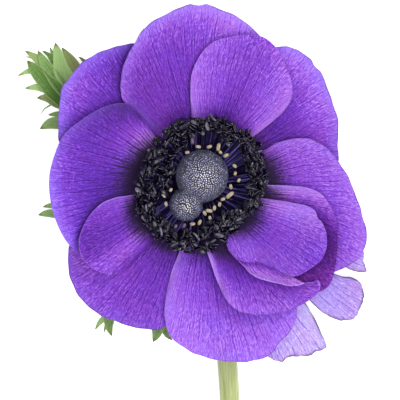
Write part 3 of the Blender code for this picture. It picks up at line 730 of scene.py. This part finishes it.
def petal_skin(name, stops, ink, vein_depth, dark_rim, rim_width):
    """Crepe-like petal: a net of fine streaks and thin dark veins along the ribs, ink at the
    foot darkened further by painted shade under the stamens, light painted along the middle of
    the margin, and a rim that many millimetres wide, painted as a highlight or darker. The net
    is one pattern near the foot, and a finer one further out. Stops are the colours from the
    darkest to the lightest tone."""
    skin, wire, shader = new_skin(name, {"Roughness": 0.6, "Specular IOR Level": 0.15})
    x, y, _ = head_places(wire)
    reach = wire.math("SQRT", x * x + y * y)
    across, along, _ = wire.node("ShaderNodeUVMap", {"uv_map": "ribs"}, {}).parts()
    lightness, inking, glow = wire.stored_parts("look")
    margin, rim, blush = wire.stored_parts("edge")

    bent = across + (wire.noise(across * 0.8, reach * 0.6) - 0.5) * 0.9
    outer = along.rise(0.45, 0.8)
    # Streaks of the nets: partly the crepe's own tone, partly painted highlight and shade of its
    # relief.
    nets = []
    for fine, slant in NETS:
        to_side, out = (bent + reach * slant) * fine, reach * 0.6
        stroke = wire.noise(to_side, out, 0, to_side * 0.5 + out)
        aside = wire.math("ABSOLUTE", stroke - 0.5)
        grain = wire.noise(to_side * 1.3, out, 1, out - to_side * 0.6)
        nets.append((0.6 - aside.rise(0.0, 0.12)) * 0.5 + (grain - 0.5) * 0.6)
    net = nets[0] * (1 - outer) + nets[1] * outer

    veins, ridges = [], []
    for spacing, wander in VEINS:
        course = (across / spacing + wire.noise(across / 6 + spacing, reach / 9) * wander
                  + wire.noise(across, reach / 1.6) * 0.1)
        aside = wire.math("PINGPONG", course, 0.5) * along * spacing
        seen = wire.noise(across / 3, reach / 8 + spacing).rise(0.35, 0.55)
        veins.append((1 - aside.rise(0.04, 0.16)) * seen)
        ridges.append((aside.rise(0.14, 0.3) - aside.rise(0.3, 0.6)) * seen)
    vein = wire.math("MAXIMUM", veins[0], veins[1] * FAINT)
    # A highlight painted on the ridges beside the veins.
    ridge = (ridges[0] + ridges[1] * FAINT) * RIDGE_LIFT

    shade = lightness + NET_LIFT + net - vein * vein_depth + ridge
    body = wire.node("ShaderNodeValToRGB", {"stops": stops}, {"Fac": shade * 0.8})
    blush = blush + BLUSH + (wire.noise(x / 7, y / 7, 3) - 0.5) * BLUSH_PATCHES
    red, green, blue = [1 + blush * share for share in REDDER]
    hue = wire.node("ShaderNodeCombineXYZ", {}, {0: red, 1: green, 2: blue})
    colour = wire.node("ShaderNodeVectorMath", {"operation": "MULTIPLY"}, {0: body, 1: hue})
    # Light painted along the middle of the margin.
    colour = glow.mixed(colour, tone(*GLOW))
    # Ink of the foot, darkened further as painted shade under the stamens.
    inked = (inking + net * 0.4 - vein * 0.6).rise(0.0, 1.0)
    colour = (1 - inked).mixed(colour, ink)
    # A thin rim at the margin: a painted highlight where rim is above 0, darker below 0.
    thin = (1 - margin.rise(0.06, rim_width)) * wire.noise(across / 5, along * 3).rise(0.35, 0.6)
    colour = (thin * wire.math("MAXIMUM", rim, 0.0)).mixed(colour, tone(*RIM_HIGHLIGHT))
    colour = (thin * wire.math("MAXIMUM", 0 - rim, 0.0)).mixed(colour, dark_rim)
    usual = (*stops[-2][1], 1.0)
    shader.inputs["Base Color"].default_value = usual
    colour.feed(shader, "Base Color")
    (net - vein * 0.3).bumped().feed(shader, "Normal")
    thin_light = wire.node("ShaderNodeBsdfTranslucent", {}, {"Color": usual})
    both = wire.node("ShaderNodeMixShader", {}, {
        0: THIN_LIGHT, 1: Wire(wire.tree, shader.outputs[0]), 2: thin_light})
    both.feed(wire.tree.nodes["Material Output"], "Surface")
    return skin


violet_skin = petal_skin("violet_petal", [
    (0.0, tone(60, 20, 110)), (0.16, tone(81, 31, 149)), (0.32, tone(100, 43, 175)),
    (0.48, tone(120, 57, 193)), (0.64, tone(142, 81, 211)), (0.8, tone(163, 111, 227)),
    (1.0, tone(181, 134, 236))],
    ink=tone(36, 22, 52), vein_depth=0.42, dark_rim=tone(66, 32, 104), rim_width=0.38)
pale_skin = petal_skin("lilac_petal", [
    (0.0, tone(112, 84, 196)), (0.4, tone(166, 138, 218)), (0.8, tone(210, 194, 228)),
    (1.0, tone(236, 230, 242))],
    ink=tone(168, 140, 218), vein_depth=0.6, dark_rim=tone(80, 70, 104), rim_width=0.75)

row_share = 1 - (1 - np.linspace(0, 1, ROWS)) ** ROW_CROWDING
rib_share = np.linspace(0, 1, RIBS)
plans = {}
for petal_name, made in PETALS.items():
    edge = smooth_path(from_bearings(made["margin"]), RIBS)
    nicks = np.sin(rib_share * 61 + made["foot"]) + np.sin(rib_share * 97 + 2 * made["foot"])
    nicks *= MARGIN_NICK * (made["whorl"] < 2)
    edge = edge * (1 + nicks / np.linalg.norm(edge, axis=1))[:, None]
    plans[petal_name] = fan(made["foot"], PALE_FOOT_WIDTH if made["whorl"] < 0 else FOOT_WIDTH,
                            edge, row_share, np.array(made["bow"]))


def bowl_height(plan, whorl):
    """A whorl's height above the surface: from its foot to its rim as the share of the way
    out to the 1.5th."""
    share = np.clip((np.linalg.norm(plan, axis=-1) - FOOT_RADIUS) / (RIM_RADIUS - FOOT_RADIUS),
                    0, None)
    foot_height = LOWEST_FOOT + FOOT_STEP * (whorl + 1)
    return foot_height + (RIM_HEIGHTS[whorl] - foot_height) * share**BOWL_POWER


def shade_on(plan, whorl):
    """How deep each point lies in the shade of higher petals: 1 under one, and falling off
    with distance from its margin, over a width that grows with the gap between them."""
    shade = np.zeros(plan.shape[:2])
    for other, made in PETALS.items():
        if made["whorl"] > max(whorl, 0) or (whorl < 0 <= made["whorl"]):
            gap = np.clip(bowl_height(plan, made["whorl"]) - bowl_height(plan, whorl),
                          0, FARTHEST_GAP)
            outline = outline_of(plans[other]) + SHADE_SHIFT
            aside = line_distance(plan, np.vstack([outline, outline[:1]]))
            beside = np.minimum(gap / 2.2, 1) * np.exp(-aside / (0.3 + 0.55 * gap))
            shade = np.maximum(shade, np.where(within(plan, outline), 1.0, beside))
    return shade


def sheet_piece(plan, height, margin_gap, ribs, looks, edges):
    """A sheet as points, faces, its UV map and the two sets of three numbers for its skin."""
    thickness = SHEET_EDGE + (SHEET_MIDDLE - SHEET_EDGE) * eased(margin_gap, 0, EDGE_TAPER)
    layers = [np.dstack([np.broadcast_to(value, plan.shape[:2]) for value in layer])
              for layer in (ribs, looks, edges)]
    return (two_skins(np.dstack([plan, height]), thickness).reshape(-1, 3),
            sheet_faces(*plan.shape[:2]),
            *[np.tile(layer.reshape(-1, layer.shape[2]), (2, 1)) for layer in layers])


def lip_of(made, plan):
    """The folded margin of a petal: straight lines from under its crease to the lip's own
    margin, which sag below the petal as half a sine wave."""
    crease = plan[-1, ::-1][:int(RIBS * FOLD)]
    inner = smooth_path(crease[::6], LIP_RIBS) * 0.97
    outer = smooth_path(from_bearings(made["lip"]), LIP_RIBS)
    share = np.linspace(0, 1, LIP_ROWS)[:, None]
    plan = inner * (1 - share[..., None]) + outer * share[..., None]
    height = bowl_height(plan, made["whorl"]) - LIP_DROP - LIP_SAG * np.sin(np.pi * share)
    aside = line_distance(plan, outer)
    # From painted shade in the crease to painted light at the lip's margin.
    lightness = np.interp(share, *zip(*LIP_TONES))
    # Ink of the lip's foot, with the shade painted under the stamens.
    inking = (np.linalg.norm(plan, axis=2) - made["ink"][0]) / LIP_INK_AND_SHADE
    return sheet_piece(plan, height, aside, (np.linspace(LIP_LENGTH, 0, LIP_RIBS), 0.8),
                       (lightness, inking, 0.0), (aside, LIP_RIM, LIP_BLUSH))


def lightness_of(made, plan, folded, distance):
    """How light each point of a petal is, its own tone together with painted light and shade:
    the cubic curve through its tones along the ribs, with what its sides and bands add, less
    the painted shadow of other petals and the painted shade of its own fold."""
    light = np.polyval(np.polyfit(TONE_PLACES, made["tones"], 3),
                       np.maximum(row_share, TONE_PLACES[0]))[:, None]
    for pair, aside in zip(made["sides"], (1 - 2 * rib_share, 2 * rib_share - 1)):
        added = np.interp(row_share, SIDE_ROWS, pair)[:, None]
        light = light + added * np.clip(aside, 0, 1) ** SIDE_FALL
    for place, width, amount in made["bands"]:
        light = light + amount * np.exp(-(((rib_share - place) / width) ** 2))
    light = light - SHADE_DEPTH * made["shade"] * shade_on(plan, made["whorl"])
    return light - FOLD_SHADE * folded * np.exp(-distance / 0.8)


for petal_name, made in PETALS.items():
    whorl, plan = made["whorl"], plans[petal_name]
    wave = np.sin(rib_share * 19 + made["foot"]) + 0.6 * np.sin(rib_share * 33 + 2 * made["foot"])
    wave = WAVE_HEIGHT * wave * (PALE_WAVE if whorl < 0 else 1)
    height = bowl_height(plan, whorl) + wave * row_share[:, None] ** 4
    height = np.maximum(height, LOWEST_TIP)
    free_margin = np.vstack([plan[ROWS // 4:, 0], plan[-1], plan[ROWS // 4:, -1][::-1]])
    distance = line_distance(plan, free_margin)
    folded = eased(rib_share, 1 - FOLD, 1 - FOLD + FOLD_EASE) * bool(made["lip"])
    off_middle = np.abs(2 * rib_share - 1)
    # Ink of the foot, with painted shade under the stamens, fades out between two reaches and sooner
    # towards the sides.
    start, end = made["ink"]
    inking = ((np.linalg.norm(plan, axis=2) - start) / (end - start)
              + INK_AND_SHADE_NARROWING * off_middle**2.5)
    # How much light is painted along the middle of the margin.
    glow = (made["glow"] * (1 - off_middle**1.2)
            * np.clip(1 - distance / GLOW_REACH, 0, 1) ** 1.5)
    # How red each rib is, and how strongly a highlight is painted on its rim, or how dark below 0.
    blush, rim = [np.interp(rib_share, (0, 0.5, 1), made[key]) for key in ("blush", "rim")]
    length = np.linalg.norm(np.diff(plan[-1], axis=0), axis=1).sum()
    sheets = [sheet_piece(plan, height, distance, (rib_share * length, row_share[:, None]),
                          (lightness_of(made, plan, folded, distance), inking, glow),
                          (distance, rim * (1 - folded), blush))]
    if made["lip"]:
        sheets.append(lip_of(made, plan))
    points, faces, ribs, looks, edges = zip(*sheets)
    piece = add_mesh(petal_name + "_petal", *joined(list(zip(points, faces))),
                     pale_skin if whorl < 0 else violet_skin,
                     "lilac_petal" if whorl < 0 else "violet_petal", ["petal_" + petal_name])
    set_ribs(piece, np.vstack(ribs))
    set_value(piece, "look", np.vstack(looks))
    set_value(piece, "edge", np.vstack(edges))

# The pistil head: two mounds that grew together, each set with hundreds of short woolly
# styles. A style stands up from the mound and its pale tip curls over to one side.
# A dome has its x, y, radius and height.
PISTIL_DOMES = [(0.5, 2.0, 6.5, 8.6), (-3.5, -5.2, 4.1, 6.6)]
PISTIL_FLOOR, DOME_SINK, DOME_POLAR, DOME_RINGS, DOME_SIDES = 17.95, 0.35, (118, 2), 22, 48
STYLE_PITCH, STYLE_LENGTH, STYLE_WIDTH, STYLE_CURL, STYLE_SEED = 0.57, 0.85, 0.2, 0.22, 5
ROOT_JITTER, CROWN_JITTER = 0.035, 0.13
# A style is widest near its tip, and those at the crown are the stoutest.
STYLE_SHAPE, STYLE_SIDES, CROWN_STOUTNESS = (0.9, 0.7, 0.8, 1.6, 1.1), 4, (0.88, 1.04, 1.45)
GOLDEN_TURN, SPIRAL_DEPTH, CROWN_LEAN = np.radians(137.5078), 1.22, (0.1, -0.06, 1.0)
STYLE_GROUND, STYLE_DARK, STYLE_PALE = (20, 15, 38), (54, 58, 104), (188, 187, 242)
STYLE_WHITE = (255, 250, 252)


def mound(place, inset):
    """A dome as rings from its base to its crown: a half ellipse of the polar angle, turned
    about the dome's middle, with the part under the pistil head's floor pressed flat."""
    x, y, radius, height = place
    middle, tall = PISTIL_FLOOR + height * DOME_SINK, height * (1 - DOME_SINK)
    polar = np.linspace(*np.radians(DOME_POLAR), DOME_RINGS)[:, None]
    turn = np.linspace(0, 2 * np.pi, DOME_SIDES, endpoint=False)[None]
    return np.stack([x + (radius - inset) * np.sin(polar) * np.cos(turn),
                     y + (radius - inset) * np.sin(polar) * np.sin(turn),
                     np.maximum(middle + (tall - inset) * np.cos(polar) + 0 * turn,
                                PISTIL_FLOOR)], axis=-1)


def styles_on(place, other, rng):
    """Middle lines, sides and nearness to the crown of the styles on one dome: roots in a
    sunflower spiral over it, each line out along the dome's normal and then over along a
    tangent that swirls slowly. Those inside the other dome are left out."""
    x, y, radius, height = place
    middle, tall = PISTIL_FLOOR + height * DOME_SINK, height * (1 - DOME_SINK)
    count = int(2 * np.pi * SPIRAL_DEPTH * (radius / STYLE_PITCH) ** 2)
    order = np.arange(count) + 0.5
    down = 1 - order / count * SPIRAL_DEPTH
    turn = order * GOLDEN_TURN
    flat = np.sqrt(1 - down**2)
    direction = np.stack([flat * np.cos(turn), flat * np.sin(turn), down], axis=-1)
    centre = np.array([x, y, middle])
    half_axes = np.array([radius, radius, tall]) - STYLE_LENGTH
    root = centre + direction * half_axes
    normal = unit(direction / half_axes)
    root += rng.normal(0, ROOT_JITTER, root.shape)
    swirl = (rng.uniform(0, 2 * np.pi, count) * 0.35 + 2.5 * np.sin(root[:, 0] * 1.1)
             + 2.0 * np.cos(root[:, 1] * 1.3 + 1.0))
    east = unit(np.cross([0.0, 0.0, 1.0] + normal * 0.01, normal) + [1e-4, 0, 0])
    north = np.cross(normal, east)
    lean = east * np.cos(swirl)[:, None] + north * np.sin(swirl)[:, None]
    t = np.linspace(0, 1, len(STYLE_SHAPE))[None, :, None]
    rise = STYLE_LENGTH * np.minimum(1.25 * t, 1) ** 0.8
    line = root[:, None] + normal[:, None] * rise + lean[:, None] * STYLE_CURL * t**2.2
    ox, oy, oradius, oheight = other
    omiddle = PISTIL_FLOOR + oheight * DOME_SINK
    gap = (root - [ox, oy, omiddle]) / [oradius, oradius, oheight * (1 - DOME_SINK)]
    free = (np.linalg.norm(gap, axis=1) > 0.97) & (root[:, 2] > PISTIL_FLOOR + 0.3)
    crown = (direction * unit(np.array(CROWN_LEAN))).sum(axis=1)
    return line[free], np.cross(normal, lean)[free], crown[free]


slate_skin, wire, shader = new_skin("slate_styles", {"Roughness": 0.6, "Sheen Weight": 0.3})
x, y, _ = head_places(wire)
crown = wire.stored("crown")
patch = (wire.noise(x * 1.4, y * 1.4, 2) - 0.5) * 0.4
# Tips turn paler, then white, towards each mound's crown and darker towards its sides: partly the
# styles' own pale tips and partly painted light on the top of the mounds.
pale = (crown + patch).rise(0.8, 1.05).mixed(tone(*STYLE_PALE), tone(*STYLE_WHITE))
tip_colour = crown.rise(0.3, 0.8).mixed(tone(*STYLE_DARK), pale)
colour = wire.stored("tip").rise(0.6, 0.9).mixed(tone(*STYLE_GROUND), tip_colour)
colour.feed(shader, "Base Color")

rng = np.random.default_rng(STYLE_SEED)
mounds = [tubes(mound(place, STYLE_LENGTH - 0.05)[None]) for place in PISTIL_DOMES]
parts = zip(*[styles_on(PISTIL_DOMES[k], PISTIL_DOMES[1 - k], rng) for k in (0, 1)])
lines, sides, crowns = [np.concatenate(part) for part in parts]
stoutness = np.interp(crowns, (0.3, 0.85, 1.0), CROWN_STOUTNESS)[:, None]
radius = STYLE_WIDTH * np.array(STYLE_SHAPE) / 2 * stoutness
styles = tubes(swept(lines, sides[:, None], radius, round_section(STYLE_SIDES)))
points, faces = joined(mounds + [styles])
piece = add_mesh("styles", points, faces, slate_skin, "pistils", ["pistil_head"])
crowns = crowns + rng.normal(0, CROWN_JITTER, len(crowns))
tip_share = np.linspace(0, 1, len(STYLE_SHAPE)) + np.zeros((len(lines), 1))
for value_name, values in (("tip", tip_share), ("crown", crowns[:, None] + 0 * tip_share)):
    values = along_tubes(values, STYLE_SIDES)
    set_value(piece, value_name, np.concatenate([np.zeros(len(points) - len(values)), values]))

# The stamens: hundreds, each a thin inky filament from below the pistil head, out and up to a
# bean of two lobes. The beans crowd the outer ring and hide most filaments on the left.
# Round the domes stand short ones, cream or purple, whose beans never darkened.
STAMEN_COUNT, STAMEN_SEED, RING_TOP, RING_DEPTH = 680, 8, 24.7, 2.6
ROOT_RADIUS, ROOT_HEIGHTS, FILAMENT_WIDTH = 5.2, (15.0, 17.3), 0.34
ANTHER_LENGTH, ANTHER_WIDTH, ANTHER_BOW, ANTHER_FLATNESS, GROOVE_DEPTH = 2.6, 1.3, 0.07, 0.6, 0.5
BEAN_RINGS, BEAN_SIDES, STALK_RINGS, STALK_SIDES = 7, 10, 8, 5
BARE_TOP, BARE_STALK, BARE_STALK_WIDTH, BARE_GIRTH = 23.4, 4.6, 0.24, (0.5, 0.2)
ANTHER_INK, ANTHER_DUST_AND_SHEEN = (10, 5, 24), (104, 100, 116)
STALK_DARK, STALK_LIT = (18, 10, 40), (96, 84, 160)
# How far out the beans reach, and how near to the middle they come, as (bearing, reach).
RING_REACH = [(0, 16.4), (20, 17.0), (45, 17.6), (60, 17.2), (75, 16.7), (90, 16.4),
              (105, 16.3), (120, 16.3), (135, 15.3), (150, 14.8), (165, 15.0), (180, 15.9),
              (195, 16.8), (210, 17.4), (230, 17.3), (250, 17.6), (270, 17.0), (285, 16.5),
              (300, 14.6), (322, 14.0), (340, 15.4), (360, 16.4)]
CLEAR_REACH = [(0, 12.2), (20, 12.5), (40, 13.3), (60, 12.8), (75, 13.4), (95, 13.2), (110, 10.5),
               (130, 8.5), (150, 7.6), (170, 7.2), (185, 7.6), (198, 10.5), (210, 12.6),
               (225, 12.6), (245, 12.8), (262, 12.2), (275, 11), (290, 9), (310, 9), (322, 11.2),
               (335, 12.3), (345, 12.5), (360, 12.2)]
# Each bare stamen's x, y, bearing, length and kind: 0 is cream and 1 purple.
BARE_STAMENS = [
    (-3.2, 7.9, 10, 1.1, 0), (-0.4, 9.3, 170, 1.3, 0), (2.3, 9.3, 20, 1.3, 0),
    (4.6, 9.2, 80, 1.9, 0), (5.1, 7.9, 130, 1.0, 0), (6.5, 7.1, 30, 1.4, 0),
    (8.7, 4.5, 140, 1.2, 0), (8.8, 2.6, 80, 1.0, 0), (9.7, 0.9, 60, 1.0, 0),
    (7.7, -0.7, 100, 1.3, 0), (7.4, -2.8, 40, 2.3, 0), (5.7, -3.8, 20, 1.2, 0),
    (4.9, -5.1, 80, 1.2, 0), (2.3, -6.7, 170, 1.7, 0), (3.6, -6.0, 85, 1.3, 0),
    (1.2, -7.3, 120, 1.2, 0), (2.5, -8.5, 110, 1.1, 0), (-1.9, -10.0, 5, 1.3, 0),
    (-0.1, -9.6, 65, 1.4, 0), (-8.5, -5.0, 100, 1.2, 0), (-9.0, -2.9, 130, 1.2, 0),
    (-7.3, -1.5, 50, 1.0, 0), (-1.9, 10.7, 95, 1.7, 1), (-4.0, -10.6, 70, 1.6, 1),
    (-6.1, -10.6, 60, 1.2, 1), (-8.1, -9.7, 130, 1.1, 1), (-9.0, -8.7, 150, 1.0, 1)]


def beans(centre, axis, up, length, width):
    """Anthers: rings along a bowed line. A ring is an oval drawn in by a groove above and
    below, and rings shrink to the rounded ends as the root of 1 less the share to the 4th."""
    share = np.linspace(-0.97, 0.97, BEAN_RINGS)
    bow = up[:, None] * (ANTHER_BOW * (share**2)[None, :, None] * length[:, None, None])
    middle = centre[:, None] + axis[:, None] * (share[None, :, None] * length[:, None, None] / 2)
    radius = np.sqrt(1 - share**4)[None] * width[:, None] / 2
    cosine, sine = round_section(BEAN_SIDES).T
    drawn = ANTHER_FLATNESS * (1 - GROOVE_DEPTH * np.abs(sine) ** 6)
    section = np.stack([cosine, sine * drawn], axis=-1)
    side = np.cross(up, axis)
    return swept(middle - bow, np.broadcast_to(side[:, None], middle.shape), radius, section)


def filaments(root, end, width):
    """Stalks that leave the root outwards and bend up to the end. The middle line is 1 - t
    squared times the root, 2 t times 1 - t times the knee, and t squared times the end."""
    t = np.linspace(0, 1, STALK_RINGS)[None, :, None]
    knee = root * 0.45 + end * 0.55
    knee[:, 2] = root[:, 2] * 0.5 + end[:, 2] * 0.5
    line = root[:, None] * (1 - t) ** 2 + knee[:, None] * 2 * t * (1 - t) + end[:, None] * t**2
    bearing = np.arctan2(end[:, 1], end[:, 0])
    side = np.stack([-np.sin(bearing), np.cos(bearing), 0 * bearing], axis=-1)
    radius = width[:, None] / 2 * (1.15 - 0.4 * t[..., 0])
    return swept(line, np.broadcast_to(side[:, None], line.shape), radius,
                 round_section(STALK_SIDES))


rng = np.random.default_rng(STAMEN_SEED)
order = np.arange(STAMEN_COUNT) + 0.5
bearing = order * GOLDEN_TURN + rng.normal(0, 0.04, STAMEN_COUNT)
inner, outer = [np.interp(np.degrees(bearing) % 360, *zip(*reaches))
                for reaches in (CLEAR_REACH, RING_REACH)]
spread = rng.permutation(order / STAMEN_COUNT)
reach = np.sqrt(inner**2 + (outer**2 - inner**2) * spread) + 0.25 * np.sin(11 * bearing)
depth = rng.uniform(0, 1, STAMEN_COUNT) ** 1.3
top = RING_TOP - 2.0 * eased(reach, 14.5, 17.0) - 1.6 * eased(-reach, -11, -8)
centre = np.stack([reach * np.cos(bearing), reach * np.sin(bearing), top - RING_DEPTH * depth],
                  axis=-1)
heading = bearing + rng.normal(np.pi / 2, 0.75, STAMEN_COUNT)
pitch = rng.normal(0.0, 0.4, STAMEN_COUNT)
axis = np.stack([np.cos(heading) * np.cos(pitch), np.sin(heading) * np.cos(pitch),
                 np.sin(pitch)], axis=-1)
up = unit(np.array([0, 0, 1.0]) + rng.normal(0, 0.5, centre.shape))
up = unit(up - axis * (up * axis).sum(axis=-1, keepdims=True))
roll = rng.normal(np.pi / 2, 0.7, (STAMEN_COUNT, 1))
up = up * np.cos(roll) + np.cross(up, axis) * np.sin(roll)
length = ANTHER_LENGTH * rng.uniform(0.8, 1.25, STAMEN_COUNT)
width = ANTHER_WIDTH * rng.uniform(0.75, 1.15, STAMEN_COUNT)
dark = beans(centre, axis, up, length, width)

root_bearing = bearing + rng.normal(0, 0.05, STAMEN_COUNT)
root = np.stack([ROOT_RADIUS * np.cos(root_bearing), ROOT_RADIUS * np.sin(root_bearing),
                 rng.uniform(*ROOT_HEIGHTS, STAMEN_COUNT)], axis=-1)
stalks = filaments(root, centre - up * 0.1, np.full(STAMEN_COUNT, FILAMENT_WIDTH))

bare = np.array(BARE_STAMENS, float)
bare_centre = np.column_stack([bare[:, :2], np.full(len(bare), BARE_TOP)])
turn = np.radians(bare[:, 2])
bare_axis = unit(np.stack([np.cos(turn), np.sin(turn), 0.15 + 0 * turn], axis=-1))
bare_up = unit(np.array([0, 0, 1.0]) - bare_axis * bare_axis[:, 2:])
bare_beans = beans(bare_centre, bare_axis, bare_up, 1.1 * bare[:, 3],
                   BARE_GIRTH[0] + BARE_GIRTH[1] * bare[:, 3])
bare_root = bare_centre * [0.82, 0.82, 1] - [0, 0, BARE_STALK]
bare_stalks = filaments(bare_root, bare_centre, np.full(len(bare), BARE_STALK_WIDTH))

ink_skin, wire, shader = new_skin("ink_anthers", {"Roughness": 0.12, "Specular IOR Level": 0.34})
x, y, z = head_places(wire)
grain = wire.noise(x * 1.1, y * 1.1, 3, z * 1.1)
# Some anthers, and patches on others, are greyer: partly pollen dust and partly painted sheen.
dusty = (wire.stored("dusty") + (grain - 0.5) * 1.3).rise(0.15, 1.0)
colour = dusty.mixed(tone(*ANTHER_INK), tone(*ANTHER_DUST_AND_SHEEN))
colour.feed(shader, "Base Color")
fine = wire.noise(x * 6, y * 6, 3, z * 6)
fine.bumped(0.00003).feed(shader, "Normal")
piece = add_mesh("anthers", *tubes(dark), ink_skin, "stamens", ["stamens"])
# A few anthers are greyer, partly with dust and partly with painted sheen.
dust_and_sheen_share = rng.uniform(0, 1, STAMEN_COUNT)[:, None] ** 9 + np.zeros((1, BEAN_RINGS))
set_value(piece, "dusty", along_tubes(dust_and_sheen_share, BEAN_SIDES))

stalk_skin, wire, shader = new_skin("indigo_filaments", {"Roughness": 0.3})
x, y, _ = head_places(wire)
grain = wire.noise(x * 0.8, y * 0.8, 3)
# Some filaments, and patches along them, get a painted highlight.
bright = (wire.stored("bright") + (grain - 0.5) * 0.6).rise(0.0, 1.0)
colour = bright.mixed(tone(*STALK_DARK), tone(*STALK_LIT))
colour.feed(shader, "Base Color")
piece = add_mesh("filaments", *joined([tubes(stalks), tubes(bare_stalks)]), stalk_skin,
                 "stamens", ["stamens"])
# Which filaments get a painted highlight.
bright = rng.uniform(0, 1, (STAMEN_COUNT + len(bare), 1)) ** 3 + np.zeros((1, STALK_RINGS))
set_value(piece, "bright", np.concatenate([along_tubes(part, STALK_SIDES) for part in (
    bright[:STAMEN_COUNT], bright[STAMEN_COUNT:])]))

for kind, (kind_name, body, brown_and_shade) in enumerate((
        ("cream_anthers", tone(184, 172, 138), tone(108, 90, 66)),
        ("purple_anthers", tone(104, 74, 106), tone(50, 30, 56)))):
    bare_skin, wire, shader = new_skin(kind_name, {"Roughness": 0.45})
    x, y, z = head_places(wire)
    mottle = wire.noise(x * 2.5, y * 2.5, 3, z * 2.5)
    # Darker along each bean's groove as painted shade, and in brown patches.
    colour = (wire.stored("groove") * 0.8 + mottle.rise(0.4, 0.75) * 0.6).mixed(body, brown_and_shade)
    colour.feed(shader, "Base Color")
    kept = bare_beans[bare[:, 4] == kind]
    piece = add_mesh(kind_name, *tubes(kept), bare_skin, "stamens", ["stamens"])
    groove = np.abs(round_section(BEAN_SIDES)[:, 1]) ** 5
    grooves = np.tile(groove, len(kept) * BEAN_RINGS)
    set_value(piece, "groove", np.concatenate([grooves, np.zeros(2 * len(kept))]))
